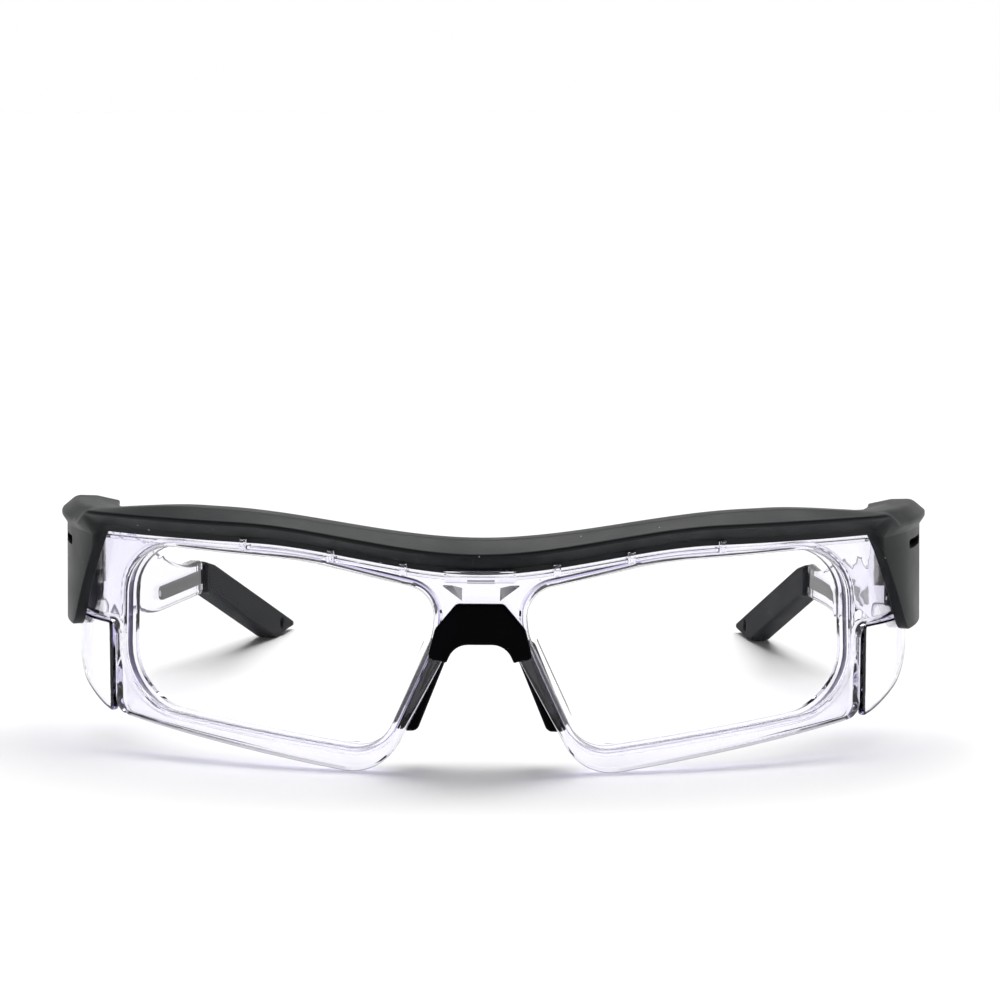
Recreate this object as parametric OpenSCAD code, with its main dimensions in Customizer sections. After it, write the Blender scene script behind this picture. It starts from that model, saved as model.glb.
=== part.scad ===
// Wrap-around safety spectacles: clear front with two lenses, rubber brow guard and
// nose piece, clear side shields and two folding temples on riveted three-knuckle hinges.
// X runs across the face, Y back towards the ears and Z up. Left is the wearer's left, +X.
// The origin is at the middle of the footprint, on the surface that the spectacles lie on.

/* [Front] */
// Width over the corners where the front turns into the side wings
front_w = 127.8; // [118:0.2:156]
// Radius of the front surface, seen from above
front_r = 105; // [90:1:135]
// Height of the brow line at the bridge
brow_z = 33.3; // [30:0.1:40]
// Rise of the brow line from the bridge to the temples
brow_rise = 4.1; // [2:0.1:6]
// Distance from the middle at which the brow line has risen
brow_span = 38; // [30:1:46]
// Height of the clear top rail above the brow line
rail_h = 1.9; // [1.4:0.1:2.4]
// Distance between the two lens openings at the nose
bridge_w = 16; // [14:0.2:20]
// Width of the rim beside the temple end of each lens opening
side_rim = 2.2; // [2:0.1:4]

/* [Lenses] */
// Lens thickness
lens_t = 2.2; // [1.8:0.05:3]
// Depth of the lens edge inside its groove
lens_seat = 0.8; // [0.5:0.05:0.9]
// Thickness of the rim's lip in front of the lens
lens_lip = 1.0; // [0.8:0.1:1.2]
// Thickness of the rim's lip behind the lens
rear_lip = 1.0; // [0.8:0.1:1.6]

/* [Side wings] */
// Radius of the side wing, seen from above
wing_r = 42; // [34:1:50]
// Angle at which the wing leaves the front
wing_start = 52; // [48:1:56]
// Angle at which the wing ends at the hinge
wing_end = 84; // [80:1:86]
// Thickness of the end piece that carries the hinge
wing_t = 3.0; // [2.8:0.1:3.4]
// Thickness of the side shield
shield_t = 1.6; // [1.2:0.1:2.2]
// Depth of the end piece below the brow line
end_piece_h = 15.4; // [14.6:0.1:17]

/* [Brow guard] */
// How far the ridge of the guard stands out from the front
ridge_out = 4.5; // [3.5:0.1:6]
// Height of the guard above the brow line at the bridge
guard_h = 5.8; // [5:0.1:7]
// How far the dust lip reaches back from the front surface
dam_depth = 7; // [6.4:0.1:9]
// Thickness of the side flap
flap_t = 1.9; // [1.4:0.1:2.2]
// Depth of the side flap below the brow line
flap_drop = 17.7; // [14:0.1:20]

/* [Nose piece] */
// Thickness of the nose piece in front of the bridge
nose_cap_t = 1.65; // [1.2:0.05:2.4]
// Depth of the nose pads behind the rims
pad_depth = 5.6; // [4:0.1:8]
// Width of each nose pad
pad_w = 3.6; // [3:0.1:4.4]

/* [Temples] */
// Length from the hinge pin to the end of the tip
temple_len = 112.6; // [98:0.2:136]
// Length from the hinge pin to the bend over the ear
bend_at = 62.6; // [56:0.2:68]
// Angle by which an open temple leans inwards
temple_lean = 11.8; // [8:0.1:15]
// Thickness of the clear temple
temple_t = 3.0; // [2.8:0.1:3.6]
// Thickness of the black tip
tip_t = 4.4; // [4:0.1:5.4]
// Radius of the cord hole in the tip
cord_hole_r = 1.1; // [0.8:0.05:1.3]
// Radius of the core wire
wire_r = 0.6; // [0.4:0.05:0.75]

/* [Hinges] */
// Radius of the hinge screw
pin_r = 0.8; // [0.6:0.05:1]
// Radial clearance of the hinge screw in the knuckles
pin_gap = 0.05; // [0.02:0.01:0.09]
// Outer radius of the knuckles
knuckle_r = 1.6; // [1.5:0.05:1.7]
// Height of the whole hinge
hinge_h = 10; // [8.6:0.1:11]
// Thickness of the hinge leaves
leaf_t = 0.8; // [0.6:0.05:0.9]
// Radius of the rivets
rivet_r = 0.75; // [0.5:0.05:0.9]

/* [Hidden] */
$fn = 48;

// Clearances
seat_gap = 0.05;     // lens in its groove, tongue in its socket, wire in its bore
mould_gap = 0.15;    // rubber over the clear front
flap_gap = 0.3;      // side flap over the end piece and the temple's root
knuckle_gap = 0.1;   // between knuckles, along the screw
butt_gap = 0.15;     // open temple to end piece
leaf_reach = 0.15;   // knuckle to the faces beside it
corner_gap = 0.1;    // guard behind the front's rear corner, and clips in their pockets
pocket_gap = 0.2;    // hinge in the end piece's pocket

// Front
rim_t = lens_lip + lens_t + rear_lip;
fold_x = front_w / 2;
fold_y = front_r - sqrt(front_r * front_r - fold_x * fold_x);
lens_in = bridge_w / 2;
end_z = brow_z + brow_rise;
rail_top = end_z + rail_h;
nose_top = [lens_in - 4.5, brow_z - 9.1];
nose_foot = [lens_in + 8.9, -0.87];
nose_foot_r = 9;
nose_top_r = 4;
low_corner_z = 6.3;
low_corner_r = 3;
crown_steps = 14;
big_z = 60;
tooth_at = [12.4, 24.3, 39];
tooth_w = 1.2;
middle_tooth_w = 11.7;
tooth_out = 1.8;
ledge_out = 1;
tooth_t = 0.6;
tooth_low = 1.2;
tooth_ledge = 0.35;
tooth_high = 0.7;
// Undercut behind the bridge, with a 45 degree roof
undercut_z = brow_z - 1.9;
undercut_w = 4.5;
undercut_d = 0.65;

// Clip of the side shield
clip_z = 17;
clip_h = 3;
clip_depth = 0.8;
clip_y = fold_y + 1.35;
clip_t = 1.1;

// Wing
wing_c = [fold_x - wing_r * sin(wing_start), fold_y + wing_r * cos(wing_start)];
wing_end_x = wing_c[0] + wing_r * sin(wing_end);
hinge_y = wing_c[1] - wing_r * cos(wing_end);
end_piece_z = end_z - end_piece_h;
wing_overlap = 0.1;
shield_top = end_piece_z - mould_gap;

// Hinge: the pin stands inside the wing's inner face
pin_off = knuckle_r + leaf_reach;
pin_x = wing_end_x - wing_t - pin_off;
hinge_z = end_z - 6.4;
hinge_low = hinge_z - hinge_h / 2;
hinge_high = hinge_z + hinge_h / 2;
knuckle_h = (hinge_h - 2 * knuckle_gap) / 3;
leaf_in = pin_off - leaf_t;
front_leaf_len = 6.2;
temple_leaf_len = 7;
front_rivet_back = 3.25;
temple_rivet_at = 4.2;
rivet_rise = 3.4;
rivet_fit = 0.05;
head_r = 1.35;
head_t = 0.5;
head_fit = 0.1;
inner_head_r = 1.2;
inner_head_t = 0.35;
screw_head_r = 1.5;
screw_head_t = 0.7;

// Temple, in its own frame: x outwards from the pin, y along the temple
temple_mid = pin_off + temple_t / 2;
root_top = end_z - 0.6;
root_low = end_z - 15.4;
arm_mid = 18.6;
arm_half = 3.3;
arm_end = bend_at - 5.6;
top_span = 50;
low_span = 34;
tongue_len = 23;
wire_start = arm_end - tongue_len;
tongue_h = 2.6;
tongue_w = 2.2;
tip_start = arm_end + butt_gap;
tip_top_end = 1.9;
tip_top_bend = arm_mid + arm_half - 1.5;
tip_slope = (tip_top_bend - tip_top_end) / (temple_len - bend_at);
ball_over = 0.03;
wire_bend = bend_at - 2.6;
wire_end = temple_len - 18;
wire_past = 0.4;
cord_hole_at = temple_len - 8.6;

// Brow guard
guard_top = brow_z + guard_h;
crown_rise = 3.8;
crown_span = 44;
end_drop = 2.2;
end_drop_from = 48;
end_drop_span = 26;
wing_ridge = 2.9;
flap_past = 2.5;
flap_edge_angle = 68;
ridge_step = 3.2;
front_steps = 15;
wing_steps = 12;

// Length of the whole, used to centre it on its footprint
back_y = hinge_y + temple_len * cos(temple_lean)
    + (temple_mid + tip_t / 2) * sin(temple_lean);
mid_y = (back_y - ridge_out) / 2;

// Functions
function mix(a, b, t) = a + (b - a) * t;
function ease(t) = let (c = min(max(t, 0), 1)) c * c * (3 - 2 * c);
function unit(v) = v / norm(v);
function side_normal(a, b) = let (d = unit(b - a)) [d[1], -d[0]];
function at(corners, i) = let (c = corners[(i + len(corners)) % len(corners)]) [c[0], c[1]];

// Corners are [x, y, radius], in counter-clockwise order. Each becomes an arc.
function corner_arc(before, here, after, r, steps) =
    let (
        n1 = side_normal(before, here),
        n2 = side_normal(here, after),
        turn = n1[0] * n2[1] - n1[1] * n2[0] >= 0 ? 1 : -1,
        middle = here - turn * r * (n1 + n2) / (1 + n1 * n2),
        a1 = atan2(turn * n1[1], turn * n1[0]),
        raw = atan2(turn * n2[1], turn * n2[0]) - a1,
        sweep = raw > 180 ? raw - 360 : raw < -180 ? raw + 360 : raw
    )
    r <= 0 ? [here] : [
        for (i = [0:steps])
            middle + r * [cos(a1 + sweep * i / steps), sin(a1 + sweep * i / steps)]
    ];
function rounded(corners, steps = 6) = [
    for (i = [0:len(corners) - 1])
        each corner_arc(at(corners, i - 1), at(corners, i), at(corners, i + 1),
            corners[i][2], steps)
];
// The same convex outline, moved outwards by d
function grown(corners, d) = [
    for (i = [0:len(corners) - 1])
        let (
            here = at(corners, i),
            n1 = side_normal(at(corners, i - 1), here),
            n2 = side_normal(here, at(corners, i + 1)),
            moved = here + d * (n1 + n2) / (1 + n1 * n2)
        )
        [moved[0], moved[1], corners[i][2] + d]
];
// Heights along the brow, by distance from the middle
function brow_line(x) = brow_z + brow_rise * ease(abs(x) / brow_span);
function crown_line(x) = guard_top + crown_rise * ease(abs(x) / crown_span)
    - end_drop * ease((abs(x) - end_drop_from) / end_drop_span);
// The nose edge of the rims at a height
function nose_edge(z) = nose_top[0]
    + (nose_top[1] - z) * (nose_foot[0] - nose_top[0]) / (nose_top[1] - nose_foot[1]);
function front_surface(x, r = front_r) = front_r - sqrt(r * r - x * x);

// Outlines
lens_corners = [
    [lens_in + 8.8, 3.6, 7],
    [fold_x - side_rim, 9.0, 10],
    [fold_x - side_rim - 0.8, end_z - 1.4, 9],
    [mix(lens_in, fold_x, 0.39), brow_z + 1.6, 60],
    [lens_in - 0.8, brow_z - 3.1, 5],
    [lens_in, brow_z - 10.3, 8]
];
front_outline = concat(
    [[nose_foot[0], nose_foot[1], nose_foot_r], [fold_x, low_corner_z, low_corner_r]],
    [
        for (i = [crown_steps:-1:-crown_steps])
            let (x = fold_x * i / crown_steps)
            [x, brow_line(x) + rail_h, 0]
    ],
    [[-fold_x, low_corner_z, low_corner_r], [-nose_foot[0], nose_foot[1], nose_foot_r]],
    [[-nose_top[0], nose_top[1], nose_top_r], [nose_top[0], nose_top[1], nose_top_r]]
);

// A flat shape drawn in X and Z, filled from y0 back to y1
module front_prism(y0, y1) {
    translate([0, y1, 0]) rotate([90, 0, 0]) linear_extrude(height = y1 - y0) children();
}
// A flat shape drawn in Y and Z, filled from x0 out to x1
module side_prism(x0, x1) {
    translate([x0, 0, 0]) rotate([90, 0, 90]) linear_extrude(height = x1 - x0) children();
}
module ring(outer, inner, z0, z1) {
    translate([0, 0, z0]) difference() {
        cylinder(r = outer, h = z1 - z0, $fn = 180);
        translate([0, 0, -1]) cylinder(r = inner, h = z1 - z0 + 2, $fn = 180);
    }
}
module box(low, high) {
    translate(low) cube(high - low);
}
// A round bar along X
module rod_x(r, x0, x1, y, z) {
    translate([x0, y, z]) rotate([0, 90, 0]) cylinder(r = r, h = x1 - x0);
}
module on_side(side) {
    if (side < 0) mirror([1, 0, 0]) children();
    else children();
}
module centred() {
    translate([0, -mid_y, 0]) children();
}
// The left temple's own frame, open
module at_temple() {
    translate([pin_x, hinge_y, 0]) rotate([0, 0, temple_lean]) children();
}
module front_shell(depth_from, depth_to) {
    translate([0, front_r, 0])
        ring(front_r - depth_from, front_r - depth_to, -5, big_z);
}
module wing_shell(thick, z0, z1) {
    translate([wing_c[0], wing_c[1], 0]) ring(wing_r, wing_r - thick, z0, z1);
}

// Clear front
module end_piece() {
    difference() {
        intersection() {
            wing_shell(wing_t, end_piece_z, rail_top);
            box([fold_x - wing_overlap, fold_y - 2, 0], [wing_end_x + 5, hinge_y, big_z]);
        }
        // Pocket for the front hinge leaf and the knuckles
        box([pin_x - 4, hinge_y - front_leaf_len - pocket_gap, hinge_low - pocket_gap],
            [pin_x + pin_off, hinge_y + 1, hinge_high + screw_head_t + pocket_gap]);
        for (z = [hinge_z - rivet_rise, hinge_z + rivet_rise]) {
            rod_x(rivet_r + rivet_fit, pin_x, wing_end_x + 4, hinge_y - front_rivet_back, z);
            rod_x(head_r + head_fit, rivet_head_x - head_fit, wing_end_x + 4,
                hinge_y - front_rivet_back, z);
        }
    }
}
rivet_head_x = wing_c[0] + sqrt(pow(wing_r, 2)
    - pow(wing_r * cos(wing_end) + front_rivet_back, 2)) - 0.7;

// A tooth that stands up in front of the guard's lower edge
module tooth(x, w) {
    z = brow_line(x);
    translate([0, front_r, 0]) rotate([0, 0, asin(x / front_r)]) translate([0, -front_r, 0]) {
        box([-w / 2, -tooth_out, z - tooth_low], [w / 2, 0.4, z - tooth_ledge]);
        box([-w / 2, -tooth_out, z - tooth_low], [w / 2, tooth_t - tooth_out, z + tooth_high]);
    }
}

// A ledge below the guard's lower edge, which follows the brow line
module guard_ledge() {
    steps = [for (i = [-crown_steps:crown_steps]) (fold_x - 0.2) * i / crown_steps];
    intersection() {
        front_shell(-ledge_out, lens_lip / 2);
        front_prism(-ledge_out - 1, fold_y + 1) polygon(concat(
            [for (x = steps) [x, brow_line(x) - tooth_low]],
            [for (i = [len(steps) - 1:-1:0]) [steps[i], brow_line(steps[i]) - tooth_ledge]]
        ));
    }
}

module front_frame() {
    color([0.86, 0.88, 0.96, 0.45]) centred() difference() {
        union() {
            intersection() {
                front_shell(0, rim_t);
                front_prism(-2, fold_y + 12) polygon(rounded(front_outline));
            }
            guard_ledge();
            tooth(0, middle_tooth_w);
            for (side = [-1, 1]) on_side(side) {
                end_piece();
                for (x = tooth_at) tooth(x, tooth_w);
            }
        }
        for (side = [-1, 1]) on_side(side) {
            front_prism(-2, fold_y + 12) polygon(rounded(lens_corners));
            intersection() {
                front_shell(lens_lip - seat_gap, lens_lip + lens_t + seat_gap);
                front_prism(-2, fold_y + 12)
                    polygon(rounded(grown(lens_corners, lens_seat + seat_gap)));
            }
            // Pocket for the side shield's clip
            box([fold_x - clip_depth - corner_gap, clip_y - corner_gap,
                    clip_z - clip_h / 2 - corner_gap],
                [fold_x + 1, clip_y + clip_t + corner_gap,
                    clip_z + clip_h / 2 + corner_gap]);
        }
        // Slot for the nose piece's latch, which the cap covers
        box([-latch_w / 2 - latch_gap, -2, latch_z - latch_h / 2 - latch_gap],
            [latch_w / 2 + latch_gap, rim_t + 1, latch_z + latch_h / 2 + latch_gap]);
        side_prism(-undercut_w / 2, undercut_w / 2) polygon([
            [rim_t - undercut_d, undercut_z],
            [rim_t + undercut_d, undercut_z],
            [rim_t + undercut_d, undercut_z + 2 * undercut_d]
        ]);
    }
}

module lens(side) {
    color([0.9, 0.93, 1, 0.25]) centred() on_side(side) intersection() {
        front_shell(lens_lip, lens_lip + lens_t);
        front_prism(-2, fold_y + 12) polygon(rounded(grown(lens_corners, lens_seat)));
    }
}

module side_shield(side) {
    outline = [
        [fold_y - 3, 6.0, 0],
        [fold_y + 2.5, 6.9, 0],
        [fold_y + 12, 10.2, 16],
        [hinge_y - 0.2, 15.5, 7],
        [hinge_y - 0.2, shield_top, 0],
        [fold_y - 3, shield_top, 0]
    ];
    color([0.88, 0.9, 0.98, 0.4]) centred() on_side(side) {
        intersection() {
            wing_shell(shield_t, 0, end_piece_z);
            side_prism(fold_x + 0.1, wing_end_x + 5) polygon(rounded(outline));
        }
        box([fold_x - clip_depth, clip_y, clip_z - clip_h / 2],
            [fold_x + 0.6, clip_y + clip_t, clip_z + clip_h / 2]);
    }
}

// Brow guard. A station is [x, y, outward normal angle, share of the way round the wing].
function front_station(angle) =
    [front_r * sin(angle), front_r * (1 - cos(angle)), angle, 0];
function wing_station(share) = let (a = mix(wing_start, wing_end, share))
    [wing_c[0] + wing_r * sin(a), wing_c[1] - wing_r * cos(a), a, share];
fold_angle = asin(fold_x / front_r);
last = wing_station(1);
half_stations = concat(
    [for (i = [1:front_steps - 1]) front_station(fold_angle * i / front_steps)],
    [[fold_x, fold_y, (fold_angle + wing_start) / 2, 0]],
    [for (i = [1:wing_steps]) wing_station(i / wing_steps)],
    [[last[0] + flap_past * cos(wing_end), last[1] + flap_past * sin(wing_end), wing_end, 1.1]]
);
stations = concat(
    [for (i = [len(half_stations) - 1:-1:0]) let (s = half_stations[i])
        [-s[0], s[1], -s[2], s[3]]],
    [front_station(0)],
    half_stations
);
// The front's rear corner, as its depth inside the wing's surface and its place round it
front_corner = [fold_x, front_surface(fold_x, front_r - rim_t)] - wing_c;
corner_depth = wing_r - norm(front_corner) + corner_gap;
corner_share = (atan2(front_corner[0], -front_corner[1]) - wing_start) / (wing_end - wing_start);
// Depth inside the wing's surface that the guard needs behind the front's rear face
function behind_front(share) =
    let (
        a = mix(wing_start, wing_end, share),
        from = wing_c + wing_r * [sin(a), -cos(a)] - [0, front_r],
        run = from * [-sin(a), cos(a)],
        rear_r = front_r - rim_t
    )
    share < corner_share ? corner_gap - run - sqrt(run * run - from * from + rear_r * rear_r)
    : share < corner_share + 1 / wing_steps ? corner_depth : 0;
// The guard's section at a station, as [distance outwards, height], clockwise from the inside
function guard_section(x, share) =
    let (
        low = brow_line(x),
        top = crown_line(x),
        rail = low + rail_h + mould_gap,
        w = ease(share * 4),
        flap = ease(share * 12),
        edge = min(share * (wing_end - wing_start) / (flap_edge_angle - wing_start), 1),
        hem = low - flap_drop * edge,
        inner = mix(mould_gap, flap_gap, flap),
        outer = mix(0.9, flap_gap + flap_t, flap),
        back = max(mix(rim_t, wing_t, w) + mould_gap, share > 0 ? behind_front(share) : 0),
        leg = min(low + 1, rail),
        ridge = mix(ridge_out, wing_ridge, ease(share * 2 + 0.12)),
        ridge_z = low + mix(ridge_step, 0.8, w)
    )
    [
        [inner, hem],
        [outer, hem],
        [mix(1.05, outer - 0.2, flap), low + mix(1, -0.6, flap)],
        [ridge, ridge_z],
        [ridge, ridge_z + 0.6],
        [mix(1, 0.6, w), top],
        [-3, top - 0.1],
        [-dam_depth, top - mix(1.2, 1, w)],
        [-dam_depth, top - mix(2.2, 1.9, w)],
        [-back - 1.2, leg],
        [-back, leg],
        [-back, rail],
        [inner, rail]
    ];
section_n = 13;
function guard_points() = [
    for (s = stations)
        let (out = [sin(s[2]), -cos(s[2])])
        for (p = guard_section(s[0], s[3]))
            [s[0] + out[0] * p[0], s[1] + out[1] * p[0], p[1]]
];
function guard_faces() = concat(
    [[for (k = [0:section_n - 1]) k]],
    [
        for (i = [0:len(stations) - 2])
            for (k = [0:section_n - 1])
                let (a = i * section_n + k, b = i * section_n + (k + 1) % section_n)
                for (face = [[a, a + section_n, b], [b, a + section_n, b + section_n]])
                    face
    ],
    [[for (k = [section_n - 1:-1:0]) (len(stations) - 1) * section_n + k]]
);
slot_z = hinge_z + rivet_rise;
slot_half = 0.8;
slot_back = hinge_y - front_rivet_back + 1.2;
slot_front = slot_back - 7.4;
module brow_guard() {
    color([0.13, 0.15, 0.15]) centred() difference() {
        polyhedron(points = guard_points(), faces = guard_faces(), convexity = 8);
        // Slot in each flap, over the upper rivet's head
        for (side = [-1, 1]) on_side(side) {
            box([pin_x, slot_front, slot_z - slot_half],
                [wing_end_x + 6, slot_back, slot_z + slot_half]);
            rod_x(slot_half, pin_x, wing_end_x + 6, slot_front, slot_z);
            rod_x(slot_half, pin_x, wing_end_x + 6, slot_back, slot_z);
        }
    }
}

// Nose piece
cap_low = brow_z - 14.3;
arch_foot = nose_edge(cap_low) - 0.8;
arch_top = brow_z - 11.4;
arch_in = 1.3;
arch_r = 3.4;
arch_corners = [
    [arch_in - arch_foot, arch_top, arch_r],
    [arch_foot - arch_in, arch_top, arch_r]
];
saddle_edge = nose_edge(cap_low) - mould_gap * 1.2;
saddle_r = nose_top_r - mould_gap;
cap_half = [
    [arch_foot, cap_low, 0.3],
    [lens_in + 0.6, cap_low + 0.6, 0.6],
    [lens_in - 0.6, brow_z - 8.9, 2],
    [lens_in - 4.1, brow_z - 4.7, 1.2]
];
saddle_half = [
    [arch_foot, cap_low, 0],
    [saddle_edge, cap_low, 0],
    [nose_top[0] - 0.1, nose_top[1] - mould_gap, saddle_r]
];
// A right half listed from the bottom to the top, with its mirror image and the arch
function over_arch(half) = concat(
    half,
    [for (i = [len(half) - 1:-1:0]) [-half[i][0], half[i][1], half[i][2]]],
    arch_corners
);
pad_low = 6.3;
pad_in = 2.3;
pad_outline = [
    [nose_edge(pad_low) - pad_in, pad_low, 0.8],
    [nose_edge(pad_low) - pad_in + pad_w, pad_low, 0.8],
    [nose_edge(cap_low) - 1.4 + pad_w, cap_low + 2, 1],
    [nose_edge(cap_low) - 1.4, cap_low + 2, 0.3]
];
pad_y = front_surface(nose_edge(pad_low) + pad_w, front_r - rim_t) + mould_gap;
pad_back = pad_y + pad_depth;
strap_t = 1.5;
strap_w = 7;
strap_gap = 0.2;
latch_z = brow_z - 6.8;
latch_h = 0.8;
latch_w = 4;
latch_gap = 0.1;
module nose_piece() {
    color([0.05, 0.05, 0.06]) centred() {
        union() {
            front_prism(-mould_gap - nose_cap_t, -mould_gap) polygon(rounded(over_arch(cap_half)));
            front_prism(-mould_gap - nose_cap_t, pad_back) polygon(rounded(over_arch(saddle_half)));
            for (side = [-1, 1]) on_side(side)
                front_prism(pad_y, pad_back) polygon(rounded(pad_outline));
            // Strap up behind the bridge, and the latch that comes forward through its slot
            box([-strap_w / 2, rim_t + strap_gap, arch_top],
                [strap_w / 2, rim_t + strap_gap + strap_t, latch_z + latch_h]);
            box([-latch_w / 2, -mould_gap - nose_cap_t / 2, latch_z - latch_h / 2],
                [latch_w / 2, rim_t + 1, latch_z + latch_h / 2]);
        }
    }
}

// Temple arm, drawn in the temple's own frame
function arm_top(y) = mix(root_top, arm_mid + arm_half, ease((y - 2) / top_span));
function arm_low(y) = mix(root_low, arm_mid - arm_half, ease(y / low_span));
arm_steps = 20;
arm_outline = concat(
    [for (i = [0:arm_steps]) let (y = mix(-2, arm_end, i / arm_steps)) [y, arm_low(y)]],
    [for (i = [arm_steps:-1:0]) let (y = mix(-2, arm_end, i / arm_steps)) [y, arm_top(y)]]
);
module temple(side) {
    color([0.86, 0.88, 0.96, 0.45]) centred() on_side(side) at_temple() difference() {
        side_prism(pin_off, pin_off + temple_t) polygon(arm_outline);
        // Front end, cut square to the wing's end
        rotate([0, 0, -temple_lean]) box([-20, -20, 0], [20, butt_gap, big_z]);
        // Socket for the tip's tongue
        box([temple_mid - tongue_w / 2 - seat_gap, arm_end - tongue_len - 0.3,
                arm_mid - tongue_h / 2 - seat_gap],
            [temple_mid + tongue_w / 2 + seat_gap, arm_end + 1,
                arm_mid + tongue_h / 2 + seat_gap]);
        for (z = [hinge_z - rivet_rise, hinge_z + rivet_rise]) {
            rod_x(rivet_r + rivet_fit, 0, pin_off + temple_t + 1, temple_rivet_at, z);
            rod_x(head_r + head_fit, pin_off + temple_t - head_t - 0.1,
                pin_off + temple_t + 1, temple_rivet_at, z);
        }
    }
}

// Black tip: a paddle that rests on the surface, on a tongue inside the arm
tip_outline = [
    [tip_start, arm_mid - arm_half + 0.2, 0.4],
    [bend_at - 1.1, tip_top_bend - 5.8, 4],
    [temple_len - 12.1, 0, 2.5],
    [temple_len - 0.8, 0.7, 0.6],
    [temple_len, tip_top_end, 0.6],
    [bend_at, tip_top_bend, 3],
    [tip_start, arm_mid + arm_half - 0.2, 0.4]
];
function tip_top(y) = tip_top_bend - tip_slope * (y - bend_at);
wire_end_z = tip_top(wire_end) - 3.1;
wire_drop = atan2(arm_mid - wire_end_z, wire_end - wire_bend);
wire_run = norm([wire_end - wire_bend, arm_mid - wire_end_z]);
// The bent wire, or the bore that it lies in, which starts before it and runs past it
module wire_shape(r, past) {
    translate([temple_mid, wire_start - past, arm_mid])
        rotate([-90, 0, 0]) cylinder(r = r, h = wire_bend - wire_start + past);
    translate([temple_mid, wire_bend, arm_mid]) {
        sphere(r = r + ball_over);
        rotate([-90 - wire_drop, 0, 0]) cylinder(r = r, h = wire_run + past);
    }
}
module temple_tip(side) {
    color([0.07, 0.08, 0.1]) centred() on_side(side) at_temple() difference() {
        union() {
            side_prism(temple_mid - tip_t / 2, temple_mid + tip_t / 2)
                polygon(rounded(tip_outline));
            box([temple_mid - tongue_w / 2, arm_end - tongue_len, arm_mid - tongue_h / 2],
                [temple_mid + tongue_w / 2, tip_start + 1, arm_mid + tongue_h / 2]);
        }
        wire_shape(wire_r + seat_gap, wire_past);
        rod_x(cord_hole_r, 0, temple_mid + tip_t, cord_hole_at, tip_top(cord_hole_at) - 2.4);
    }
}
module core_wire(side) {
    color([0.7, 0.7, 0.72]) centred() on_side(side) at_temple() union() {
        wire_shape(wire_r, 0);
    }
}

// Hinges
module knuckle(z0, z1) {
    translate([0, 0, z0]) cylinder(r = knuckle_r, h = z1 - z0);
}
module knuckle_bore() {
    translate([0, 0, hinge_low - 1]) cylinder(r = pin_r + pin_gap, h = hinge_h + 2);
}
turn_room = knuckle_r + 0.35;
low_joint = hinge_low + knuckle_h;
high_joint = hinge_high - knuckle_h;
module front_hinge(side) {
    color("silver") centred() on_side(side) translate([pin_x, hinge_y, 0]) difference() {
        union() {
            difference() {
                box([leaf_in, -front_leaf_len, hinge_low], [pin_off, 0, hinge_high]);
                box([-5, -turn_room, low_joint], [5, 5, high_joint]);
            }
            knuckle(hinge_low, low_joint);
            knuckle(high_joint, hinge_high);
        }
        knuckle_bore();
        for (z = [hinge_z - rivet_rise, hinge_z + rivet_rise])
            rod_x(rivet_r + rivet_fit, 0, 5, -front_rivet_back, z);
    }
}
module temple_hinge(side) {
    color("silver") centred() on_side(side) at_temple() difference() {
        union() {
            difference() {
                box([leaf_in, 0, hinge_low], [pin_off, temple_leaf_len, hinge_high]);
                box([-5, -1, hinge_low - 1], [5, turn_room, low_joint + knuckle_gap]);
                box([-5, -1, high_joint - knuckle_gap], [5, turn_room, hinge_high + 1]);
            }
            knuckle(low_joint + knuckle_gap, high_joint - knuckle_gap);
        }
        knuckle_bore();
        for (z = [hinge_z - rivet_rise, hinge_z + rivet_rise])
            rod_x(rivet_r + rivet_fit, 0, 5, temple_rivet_at, z);
    }
}
module hinge_screw(side) {
    color("dimgray") centred() on_side(side) translate([pin_x, hinge_y, 0]) difference() {
        union() {
            translate([0, 0, hinge_low]) cylinder(r = pin_r, h = hinge_h + 0.1);
            translate([0, 0, hinge_high]) cylinder(r = screw_head_r, h = screw_head_t);
        }
        box([-2, -0.2, hinge_high + screw_head_t - 0.35], [2, 0.2, hinge_high + 2]);
    }
}
// A rivet along X with its wide head outside and its closed end on the leaf
module rivet(leaf_x, head_x, y, z) {
    rod_x(rivet_r, leaf_x - inner_head_t, head_x + 0.1, y, z);
    rod_x(head_r, head_x, head_x + head_t, y, z);
    rod_x(inner_head_r, leaf_x - inner_head_t, leaf_x, y, z);
}
module front_rivets(side) {
    color("gray") centred() on_side(side)
        for (z = [hinge_z - rivet_rise, hinge_z + rivet_rise])
            rivet(pin_x + leaf_in, rivet_head_x, hinge_y - front_rivet_back, z);
}
module temple_rivets(side) {
    color("gray") centred() on_side(side) at_temple()
        for (z = [hinge_z - rivet_rise, hinge_z + rivet_rise])
            rivet(leaf_in, pin_off + temple_t - head_t, temple_rivet_at, z);
}

front_frame();
lens(1);  // lens_left
lens(-1);  // lens_right
side_shield(1);  // side_shield_left
side_shield(-1);  // side_shield_right
brow_guard();
nose_piece();
temple(1);  // temple_left
temple(-1);  // temple_right
temple_tip(1);  // temple_tip_left
temple_tip(-1);  // temple_tip_right
core_wire(1);  // core_wire_left
core_wire(-1);  // core_wire_right
front_hinge(1);  // front_hinge_left
front_hinge(-1);  // front_hinge_right
temple_hinge(1);  // temple_hinge_left
temple_hinge(-1);  // temple_hinge_right
hinge_screw(1);  // hinge_screw_left
hinge_screw(-1);  // hinge_screw_right
front_rivets(1);  // front_rivets_left
front_rivets(-1);  // front_rivets_right
temple_rivets(1);  // temple_rivets_left
temple_rivets(-1);  // temple_rivets_right
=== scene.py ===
import math

import bmesh
import bpy
import numpy as np
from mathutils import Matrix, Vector
from mathutils.geometry import delaunay_2d_cdt


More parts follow.
